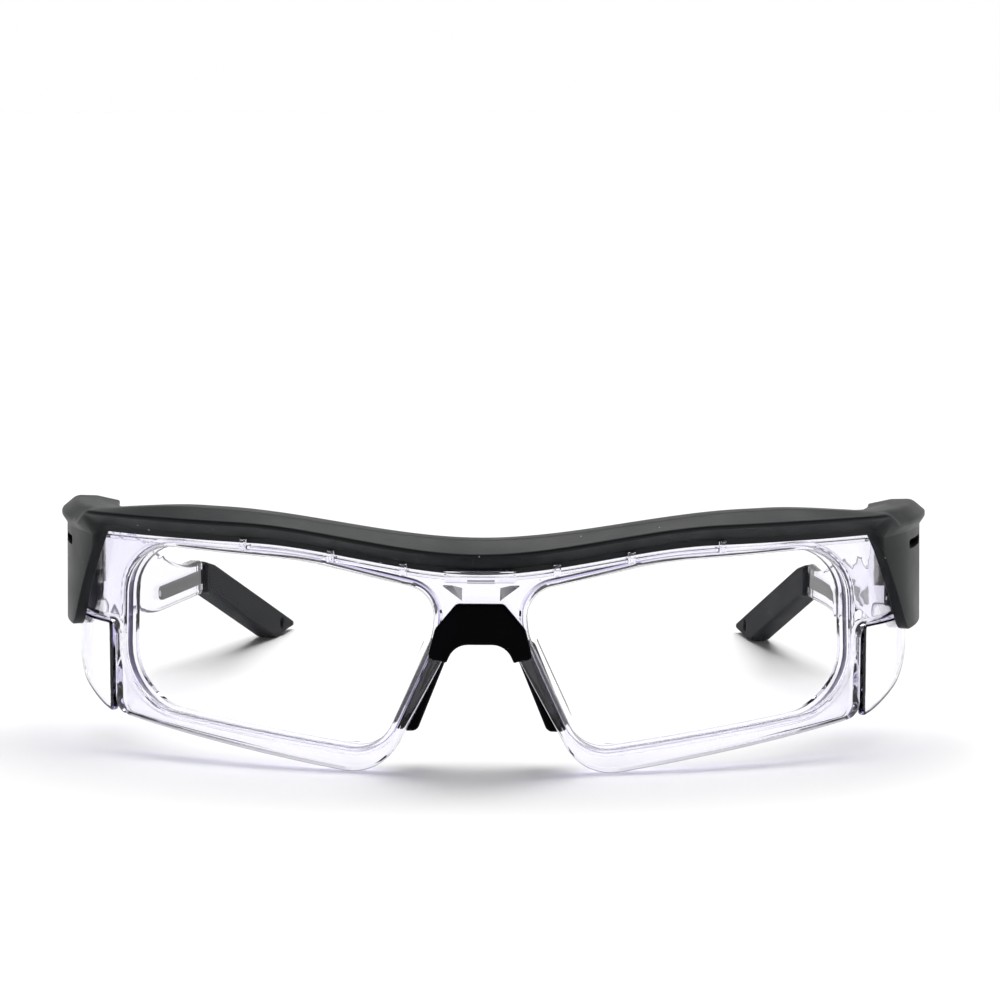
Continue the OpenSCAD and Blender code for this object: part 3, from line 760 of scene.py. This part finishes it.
def front_outline():
    """The left half from the nose foot round to the crown, then its mirror image."""
    half = [(FOOT_X, FOOT_Z, 9), (FOLD_X, 6.3, 3)]
    half = [(wrap_u(x), z, r) for x, z, r in half]
    half += [(FOLD_U, END_PIECE_Z, 2.5), (HINGE_U, END_PIECE_Z, 3), (HINGE_U, RAIL_TOP, 1)]
    crown = [FOLD_X * i / CROWN_STEPS for i in range(CROWN_STEPS, 0, -1)]
    half += [(wrap_u(x), brow_line(x) + RAIL_H, 0) for x in crown]
    arch = [(wrap_u(ARCH_TIP), ARCH_CREST, 4)]
    right = [(-u, z, r) for u, z, r in reversed(half)]
    corners = half + [(0, BROW_Z + RAIL_H, 0)] + right + [(-arch[0][0], *arch[0][1:])] + arch
    return dense(rounded(corners, 8), 1.3)


def front_place(u, z, depth):
    """The wings are thinner than the rims, and the change starts just before the fold."""
    before_fold, change_run = 1, 6
    thin = mix(1, WING_T / RIM_T, ease((abs(u) - FOLD_U + before_fold) / change_run))
    return wrap(u, z, depth * thin)


def tooth(x, width):
    """A clear tab that stands up in front of the guard's lower edge, seen end on as an L."""
    z, half = brow_line(x), width / 2
    turn = math.asin(x / FRONT_R)
    # Its ends are cut back at 45 degrees
    end = min(half * 0.5, 0.35)
    low, high, foot = z + TOOTH_LOW, z + TOOTH_HIGH, z + TOOTH_FOOT
    face, back = -TOOTH_OUT, TOOTH_T - TOOTH_OUT
    shape = [(TOOTH_SUNK, low), (face + SOFT, low), (face, low + SOFT), (face, high - SOFT),
             (face + SOFT, high), (back - SOFT, high), (back, high - SOFT), (back, foot),
             (TOOTH_SUNK, foot)]
    points = []
    for across, shrink in ((-half, end), (end - half, 0), (half - end, 0), (half, end)):
        for out, height in shape:
            out = max(out, face + shrink)
            centre = FRONT_R - out
            points.append((centre * math.sin(turn) + across * math.cos(turn),
                           FRONT_R - centre * math.cos(turn) + across * math.sin(turn), height))
    return points, capped(4, len(shape))


def guard_ledge():
    """The ledge below the guard's lower edge, swept along the brow line."""
    section = [(LEDGE_SUNK, LEDGE_LOW), (SOFT - LEDGE_OUT, LEDGE_LOW),
               (-LEDGE_OUT, LEDGE_LOW + 0.1), (-LEDGE_OUT, LEDGE_HIGH - 0.12),
               (SOFT - LEDGE_OUT, LEDGE_HIGH), (LEDGE_SUNK, LEDGE_HIGH)]
    reach = FOLD_X - 0.25
    stations = 81
    runs = np.linspace(-reach, reach, stations)
    points = []
    for x in runs:
        for out, rise in section:
            points.append(wrap(wrap_u(x), brow_line(x) + rise, out))
    return points, capped(len(runs), len(section))


def bridge_pocket(side):
    """A three-sided pocket behind the bridge, under the guard, with a sloping roof."""
    top, low = BROW_Z - 2.1, BROW_Z - 4.6
    near, far = 3.1, 6.2
    deep, shallow = RIM_T - 1.9, RIM_T + 0.6
    points = [(side * near, deep, low), (side * near, shallow, low - 0.3),
              (side * near, shallow, top), (side * far, shallow, top),
              (side * far, deep + 1.6, top - 0.3)]
    faces = [(0, 1, 2), (1, 3, 2), (0, 2, 4), (2, 3, 4), (0, 4, 1), (1, 4, 3)]
    return points, faces


def build_front():
    opening = lens_opening()
    left = opening
    right = np.array([(-u, z) for u, z in opening[::-1]])
    edge = round_edge(RIM_T - STEP_DOWN, 0.8)
    rim = [(i, d + STEP_DOWN) for i, d in edge]
    groove = LENS_SEAT + SEAT_GAP
    soft = round_edge(RIM_T, 0.35, 3)
    groove_front, groove_back = LIP_T - SEAT_GAP, LIP_T + LENS_T + SEAT_GAP
    wall = soft[:4] + [(0, groove_front), (groove, groove_front), (groove, groove_back),
                       (0, groove_back)] + soft[4:]
    # The face steps back by STEP_DOWN a little way out from each opening
    ridges = []
    for loop in (left, right):
        for out, depth in ((0.95, 0), (1.1, 0.06), (1.35, STEP_DOWN - 0.06), (1.5, STEP_DOWN)):
            ridges.append((offset(loop, out), depth))
    body = plate(front_outline(), rim, (left, right), wall, ridges, front_place, 1.6)
    front = make_piece("clear_front", *body, "front", "clear_frame", CLEAR_FRAME, "front_frame")
    carve(front, *guard_ledge(), "UNION")
    for x in TOOTH_AT:
        carve(front, *tooth(x, MIDDLE_TOOTH_W if x == 0 else TOOTH_W), "UNION")
    for side in (-1, 1):
        carve(front, *bridge_pocket(side))
    near, far, foot = RIM_T - UNDERCUT_D, RIM_T + UNDERCUT_D, BROW_Z - 1.9
    carve(front, *bar([(near, foot), (far, foot), (far, foot + 2 * UNDERCUT_D)], UNDERCUT_HALF))
    low, high = LATCH_Z - LATCH_H / 2 - LATCH_GAP, LATCH_Z + LATCH_H / 2 + LATCH_GAP
    slot = [(-2, low), (RIM_T + 1, low), (RIM_T + 1, high), (-2, high)]
    carve(front, *bar(slot, LATCH_HALF + LATCH_GAP))
    finish_shading(front)
    return front


def build_lens(side):
    """A lens with its edge in the groove, as rings that shrink to its middle. The bands
    round its edge have a coating of their own."""
    edge = offset(lens_opening(), LENS_SEAT)
    middle = edge.mean(axis=0)
    count = len(edge)
    centre_share = 0.4
    middle[0] = mix(edge[:, 0].min(), edge[:, 0].max(), centre_share)
    # Each ring's share of the lens's size: the bevel, the step in its face, then even rings
    bevel, step_at, step_deep = 0.2, 0.915, 0.14
    shrink = [0.9955, 0.92, 0.913] + [0.9 - 0.08 * k for k in range(11)]
    points = []
    back = [(t, LIP_T + LENS_T) for t in shrink]
    front = [(t, LIP_T + (step_deep if t < step_at else 0)) for t in shrink]
    rings = list(reversed(front)) + [(1, LIP_T + bevel), (1, LIP_T + LENS_T - bevel)] + back
    for t, depth in rings:
        points += [(*(middle + (p - middle) * t), depth) for p in edge]
    faces = swept(len(rings), count)
    for r, depth in ((0, LIP_T + step_deep), (len(rings) - 1, LIP_T + LENS_T)):
        points.append((*middle, depth))
        for k in range(count):
            faces.append((r * count + k, r * count + (k + 1) % count, len(points) - 1))
    placed = [wrap(*p) for p in points]
    if side < 0:
        placed = mirrored(placed)
    name = side_name(side)
    lens = make_piece("clear_lens_" + name, placed, faces, "front", "clear_lens", CLEAR_LENS,
                      "lens_" + name)
    lens.data.materials.append(LENS_EDGE)
    first = (len(front) - 1) * count
    edge_bands = 3
    for polygon in lens.data.polygons[first:first + edge_bands * count]:
        polygon.material_index = 1
    return lens


def build_shield(side):
    """The thin clear wing below the end piece."""
    top = END_PIECE_Z - MOULD_GAP
    end = HINGE_U - 0.2
    start = FOLD_U + 0.15
    corners = [(start, 6.3, 0.6), (wing_u(FOLD_Y + 2.5), 6.9, 6), (wing_u(FOLD_Y + 12), 10.2, 14),
               (end, 15.5, 5), (end, top, 1), (start, top, 0.6)]
    loop = dense(rounded(corners, 8), 1.1)
    points, faces = plate(loop, round_edge(SHIELD_T, 0.5, 4), place=wrap, step=1.4)
    if side < 0:
        points = mirrored(points)
    name = side_name(side)
    return make_piece("clear_shield_" + name, points, faces, "front", "clear_frame", CLEAR_FRAME,
                      "side_shield_" + name)


# ---------------------------------------------------------------- brow guard

GUARD_END = HINGE_U + FLAP_PAST
# The guard's crown climbs over this span and comes down again beyond it
CROWN_RISE = 3.8
CROWN_SPAN = 44.0
CROWN_DROP = 2.2
DROP_FROM = 48.0
DROP_SPAN = 26.0
# Height of the outer ridge above the guard's lower edge, over the lenses and at the wings
RIDGE_STEP = 3.2
WING_RIDGE_STEP = 0.8
# Corner radius at a flap's rear lower corner
HEM_R = 3


def crown_line(x):
    top = BROW_Z + GUARD_H + CROWN_RISE * ease(abs(x) / CROWN_SPAN)
    return top - CROWN_DROP * ease((abs(x) - DROP_FROM) / DROP_SPAN)


def guard_section(u):
    """The guard's closed section at a run, as (distance outwards, height, radius). Share
    runs from 0 at the fold to 1 at the hinge, and over it the front edge grows into a flap."""
    run = abs(u)
    share = max(run - FOLD_U, 0) / (HINGE_U - FOLD_U)
    x = abs(wrap(run, 0, 0)[0])
    low, top = brow_line(x), crown_line(x)
    rail = low + RAIL_H + MOULD_GAP
    w, flap = ease(share * 4), ease(share * 12)
    edge = share * (WING_END - WING_START) / (FLAP_EDGE - WING_START)
    bend = 0.85
    if edge >= bend:
        edge = 1 - (1 - bend) * max(0.0, 1 - (edge - bend) / (2 * (1 - bend))) ** 2
    to_end = GUARD_END - run
    lift = HEM_R - math.sqrt(max(HEM_R ** 2 - max(HEM_R - to_end, 0) ** 2, 0))
    hem = low - FLAP_DROP * edge + (lift if share > 0.5 else 0)
    inner = mix(MOULD_GAP, FLAP_GAP, flap)
    outer = mix(0.9, FLAP_GAP + FLAP_T, flap)
    back = mix(RIM_T, WING_T, w) + MOULD_GAP
    ridge = mix(RIDGE_OUT, WING_RIDGE, ease(share * 2 + 0.12))
    ridge_z = low + mix(RIDGE_STEP, WING_RIDGE_STEP, w)
    return [
        (inner, hem, 0.15), (outer, hem, 0.35),
        (mix(1.05, outer - 0.2, flap), low + mix(1, -0.6, flap), 0.5),
        (ridge, ridge_z, 0.45), (ridge, ridge_z + 0.6, 0.5), (mix(1, 0.6, w), top, 2.2),
        (-3, top - 0.1, 1.5), (-DAM_DEPTH, top - mix(1.2, 1, w), 0.4),
        (-DAM_DEPTH, top - mix(2.2, 1.9, w), 0.4), (-back - 1.2, min(low + 1, rail), 0.4),
        (-back, min(low + 1, rail), 0.1), (-back, rail, 0.1), (inner, rail, 0.1),
    ]


def guard_ring(u):
    section = [(-o, z, r) for o, z, r in guard_section(u)]
    flat = rounded([(a, b, r) for a, b, r in reversed(section)], 4)
    return [wrap(u, z, depth) for depth, z in flat]


def build_guard():
    over_front, over_wing = 46, 40
    half = list(np.linspace(0, FOLD_U, over_front))
    half += list(np.linspace(FOLD_U, GUARD_END, over_wing))[1:]
    runs = [-u for u in reversed(half[1:])] + half
    rings = [guard_ring(u) for u in runs]
    points = [point for ring in rings for point in ring]
    faces = capped(len(rings), len(rings[0]))
    guard = make_piece("brow_guard_rubber", points, faces, "front", "guard_rubber", GUARD_RUBBER,
                       "brow_guard", weighted=False)
    for side in (-1, 1):
        cut_slot(guard, side)
    return guard


def cut_slot(guard, side):
    """The slot in a flap, over the upper rivet's head. It is cut right through."""
    z, half, radius = HINGE_Z + 3.4, 0.8, 0.79
    rivet = wing_u(HINGE_Y - 3.25)
    start, end = rivet + 1.6 - 9, rivet + 1.6 + 0.3
    loop = rounded([(start, z - half, radius), (end, z - half, radius),
                    (end, z + half, radius), (start, z + half, radius)], 6)
    cut_from, cut_deep = -4, 5
    points, faces = plate(loop, [(0, 0), (0, cut_deep)],
                          place=lambda a, b, d: wrap(a, b, d + cut_from), step=2)
    if side < 0:
        points = mirrored(points)
    carve(guard, points, faces)


# ---------------------------------------------------------------- nose piece

ARCH_TOP = BROW_Z - 11.4
ARCH_R = 3.4
ARCH_IN = 1.3
CAP_LOW = BROW_Z - 14.3
CAP_T = 1.65
PAD_LOW = 6.3
PAD_FRONT = 4.9
PAD_BACK = 10.2
PAD_W = 3.6
PAD_IN = 2.3
STRAP_HALF = 3.5
STRAP_T = 1.5
STRAP_GAP = 0.2


def nose_edge(z):
    """How far the front's edge is from the middle beside the nose, at a height."""
    return ARCH_TIP + (ARCH_CREST - z) * (FOOT_X - ARCH_TIP) / (ARCH_CREST - FOOT_Z)


def straight(x, z, depth):
    """A point straight behind its place on the front plane."""
    return (x, depth, z)


def even(half):
    """The corners of both halves of a symmetrical outline, from those of its +X half."""
    return half + [(-x, z, r) for x, z, r in reversed(half)]


def build_nose():
    """The cap in front of the bridge, the saddle under it, a pad behind each rim, and the
    strap and latch that hold the piece, which the cap hides."""
    foot = nose_edge(CAP_LOW) - 0.8
    arch = [(ARCH_IN - foot, ARCH_TOP, ARCH_R), (foot - ARCH_IN, ARCH_TOP, ARCH_R)]
    cap = [(foot, CAP_LOW, 0.45), (LENS_IN + 0.6, CAP_LOW + 0.6, 0.7),
           (LENS_IN - 0.6, BROW_Z - 8.9, 2), (LENS_IN - 4.1, BROW_Z - 4.7, 1.2)]
    cap_loop = dense(rounded(even(cap) + arch, 6), 0.7)
    front = -MOULD_GAP - CAP_T
    parts = [plate(cap_loop, [(i, d + front) for i, d in round_edge(CAP_T, 0.4, 4)],
                   place=straight, step=0.9)]
    saddle = [(foot, CAP_LOW, 0.22), (nose_edge(CAP_LOW) - 0.18, CAP_LOW, 0.22),
              (LENS_IN - 4.6, BROW_Z - 9.25, 3.8)]
    saddle_loop = dense(rounded(even(saddle) + arch, 6), 0.7)
    behind = front + 0.3
    rim = [(i, d + behind) for i, d in round_edge(PAD_BACK - behind, 0.1, 3)]
    parts.append(plate(saddle_loop, rim, place=straight, step=0.9))
    inner = nose_edge(PAD_LOW) - PAD_IN
    pad = rounded([(inner, PAD_LOW, 1.3), (inner + PAD_W, PAD_LOW, 1.3),
                   (nose_edge(CAP_LOW) + 2.2, CAP_LOW + 2, 1.2),
                   (nose_edge(CAP_LOW) - 1.4, CAP_LOW + 2, 1.2)], 6)
    rim = [(i, d + PAD_FRONT) for i, d in round_edge(PAD_BACK - PAD_FRONT, 1.0, 5)]
    for side in (-1, 1):
        points, faces = plate(dense(pad, 0.8), rim, place=straight, step=1.0)
        parts.append(([(side * x, y, z) for x, y, z in points], faces))
    strap_top = LATCH_Z + LATCH_H
    strap = rounded([(-STRAP_HALF, ARCH_TOP, 0.6), (STRAP_HALF, ARCH_TOP, 0.6),
                     (STRAP_HALF, strap_top, 0.6), (-STRAP_HALF, strap_top, 0.6)], 5)
    rim = [(i, d + RIM_T + STRAP_GAP) for i, d in round_edge(STRAP_T, 0.5, 3)]
    parts.append(plate(dense(strap, 1), rim, place=straight, step=1.2))
    low, high = LATCH_Z - LATCH_H / 2, LATCH_Z + LATCH_H / 2
    latch = rounded([(-LATCH_HALF, low, 0.2), (LATCH_HALF, low, 0.2), (LATCH_HALF, high, 0.2),
                     (-LATCH_HALF, high, 0.2)], 3)
    latch_front = -0.9
    rim = [(i, d + latch_front) for i, d in round_edge(RIM_T + 1 - latch_front, 0.15, 2)]
    parts.append(plate(latch, rim, place=straight, step=1.0))
    points, faces = joined(*parts)
    return make_piece("nose_piece_rubber", points, faces, "front", "nose_rubber", NOSE_RUBBER,
                      "nose_piece")


# ---------------------------------------------------------------- temples

# Runs over which an arm's upper and lower edges come together
TAPER_TOP = 50
TAPER_LOW = 34
# Corner radius at an arm's ends, seen from the side
ARM_CORNER_R = 0.85


def arm_top(y):
    return mix(END_Z - 0.6, ARM_MID + ARM_HALF, ease((y - 2) / TAPER_TOP))


def arm_low(y):
    return mix(END_PIECE_Z, ARM_MID - ARM_HALF, ease(y / TAPER_LOW))


def build_arm(side):
    clear_of_hinge, stations = 0.75, 30
    start = PIN_OFF * math.tan(math.radians(LEAN)) + clear_of_hinge
    runs = np.linspace(start, ARM_END, stations)
    low = [(y, arm_low(y), 0) for y in runs]
    high = [(y, arm_top(y), 0) for y in runs[::-1]]
    for ends in (low, high):
        ends[0] = (*ends[0][:2], ARM_CORNER_R)
        ends[-1] = (*ends[-1][:2], ARM_CORNER_R)
    loop = dense(rounded(low + high, 6), 1.3)
    place = arm_place(side)
    points, faces = plate(loop, round_edge(TEMPLE_T, 0.8, 5), place=place, step=1.6)
    name = side_name(side)
    return make_piece("clear_temple_" + name, points, faces, name + "_arm", "clear_temple", CLEAR_ARM,
                      "temple_" + name)


# The tip bends down at BEND_AT; its upper edge ends this far above the floor
TIP_TOP_END = 1.9
TIP_BEND_Z = ARM_MID + ARM_HALF - 1.5
TIP_SLOPE = (TIP_BEND_Z - TIP_TOP_END) / (TEMPLE_LEN - BEND_AT)
# The tip's tongue, moulded into the arm
TONGUE_LEN = 23
TONGUE_HALF = 1.3
TONGUE_T = 2.2


def build_tip(side):
    start = ARM_END + 0.15
    loop = rounded([
        (start, ARM_MID - ARM_HALF + 0.2, 0.95), (BEND_AT - 1.1, TIP_BEND_Z - 5.8, 4),
        (TEMPLE_LEN - 12.1, 0, 2.5), (TEMPLE_LEN - 0.8, 0.7, 0.7), (TEMPLE_LEN, TIP_TOP_END, 0.7),
        (BEND_AT, TIP_BEND_Z, 3), (start, ARM_MID + ARM_HALF - 0.2, 0.95)], 8)
    from_end, from_top = 8.6, 2.4
    hole_at = TEMPLE_LEN - from_end
    hole_z = TIP_BEND_Z - TIP_SLOPE * (hole_at - BEND_AT) - from_top
    hole = [(hole_at + CORD_HOLE_R * math.cos(a), hole_z + CORD_HOLE_R * math.sin(a))
            for a in np.linspace(0, 2 * math.pi, 25)[:-1]]
    arm = arm_place(side)

    def place(along, z, depth):
        return arm(along, z, depth, TEMPLE_MID + TIP_T / 2)
    bore = [(0.25, 0), (0.07, 0.07), (0, 0.25)]
    bore += [(out, TIP_T - deep) for out, deep in reversed(bore)]
    paddle = plate(dense(loop, 1.2), round_edge(TIP_T, 0.5, 6, 1.5), (hole,), bore, place=place,
                   step=1.5)
    low, high = ARM_MID - TONGUE_HALF, ARM_MID + TONGUE_HALF
    tongue_end = ARM_END - TONGUE_LEN
    tongue = rounded([(tongue_end, low, 1.0), (start + 1, low, 0.6),
                      (start + 1, high, 0.6), (tongue_end, high, 1.0)], 5)

    def inner(along, z, depth):
        return arm(along, z, depth, TEMPLE_MID + TONGUE_T / 2)
    blade = plate(dense(tongue, 1.5), round_edge(TONGUE_T, 0.5, 3), place=inner, step=1.5)
    points, faces = joined(paddle, blade)
    name = side_name(side)
    return make_piece("temple_tip_rubber_" + name, points, faces, name + "_arm", "tip_rubber",
                      TIP_RUBBER, "temple_tip_" + name)


# ---------------------------------------------------------------- carried-over metal pieces

def finish_metal():
    finishes = {
        "front_hinge": (HINGE_METAL, "hinge_metal"), "temple_hinge": (HINGE_METAL, "hinge_metal"),
        "hinge_screw": (SCREW_METAL, "screw_steel"), "front_rivets": (RIVET_METAL, "rivet_steel"),
        "temple_rivets": (RIVET_METAL, "rivet_steel"), "core_wire": (WIRE_METAL, "core_steel"),
    }
    for side in ("left", "right"):
        for kind, (material, slot) in finishes.items():
            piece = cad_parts[kind + "_" + side]
            piece.data.materials.clear()
            piece.data.materials.append(material)


build_front()
build_guard()
build_nose()
for side in (1, -1):
    build_lens(side)
    build_shield(side)
    build_arm(side)
    build_tip(side)
finish_metal()


# ---------------------------------------------------------------- floor, light and camera

FLOOR_SIZE = 30


def build_floor():
    bpy.ops.mesh.primitive_plane_add(size=FLOOR_SIZE)
    floor = bpy.context.object
    floor.name = "floor"
    material, tree, shader, out = new_material("pale_floor")
    shader.inputs["Base Color"].default_value = (0.9, 0.9, 0.9, 1)
    shader.inputs["Roughness"].default_value = 0.7
    shader.inputs["Specular IOR Level"].default_value = 0.2
    tree.links.new(shader.outputs["BSDF"], out.inputs["Surface"])
    floor.data.materials.append(material)


# Strength, spread in degrees, and tilt in degrees about X, Y and Z
SUNS = {"overhead": (3.6, 60, (-16, 5, 0)), "front_fill": (0.12, 50, (50, -20, 0))}


def build_light():
    """A bright room behind the object, dark overhead and on the viewer's side, and two
    wide lamps."""
    world = bpy.data.worlds.new("studio")
    bpy.context.scene.world = world
    world.use_nodes = True
    tree = world.node_tree
    tree.nodes.clear()
    out = tree.nodes.new("ShaderNodeOutputWorld")
    back = tree.nodes.new("ShaderNodeBackground")
    where = tree.nodes.new("ShaderNodeTexCoord")
    split = tree.nodes.new("ShaderNodeSeparateXYZ")
    tree.links.new(where.outputs["Generated"], split.inputs[0])
    viewer_side = step_node(tree, split.outputs["Y"], low=-0.3, high=0.35, to_low=0.4, to_high=0.0)
    height = calc(tree, "ADD", split.outputs["Z"], viewer_side)
    shade = tree.nodes.new("ShaderNodeValToRGB")
    bright, dark = shade.color_ramp.elements
    bright.position = 0.2
    bright.color = (1.0, 1.0, 1.0, 1)
    dark.position = 0.5
    dark.color = (0.06, 0.06, 0.065, 1)
    tree.links.new(height, shade.inputs["Fac"])
    tree.links.new(shade.outputs["Color"], back.inputs["Color"])
    tree.links.new(back.outputs["Background"], out.inputs["Surface"])
    for name, (energy, angle, tilt) in SUNS.items():
        lamp = bpy.data.lights.new(name, "SUN")
        lamp.energy = energy
        lamp.angle = math.radians(angle)
        holder = bpy.data.objects.new(name, lamp)
        holder.rotation_euler = [math.radians(a) for a in tilt]
        bpy.context.scene.collection.objects.link(holder)


def build_camera():
    """A long lens about 0.56 m in front of the bridge and 112 mm above the floor."""
    distance, height, aside = 0.56, 0.112, 0.0032
    turn, pitch = math.radians(2.3), math.radians(6.77)
    data = bpy.data.cameras.new("camera")
    data.lens = 125
    data.sensor_width = 36
    data.clip_start = 0.01
    camera = bpy.data.objects.new("camera", data)
    right = Vector((math.cos(turn), math.sin(turn), 0))
    back = Vector((math.sin(turn), -math.cos(turn), 0))
    bridge = Vector((0, -MID_Y / 1000, 0))
    camera.location = bridge + back * distance + right * aside + Vector((0, 0, height))
    camera.rotation_euler = (math.pi / 2 - pitch, 0, turn)
    bpy.context.scene.collection.objects.link(camera)
    bpy.context.scene.camera = camera


build_floor()
build_light()
build_camera()
bpy.context.scene.view_settings.view_transform = "Standard"
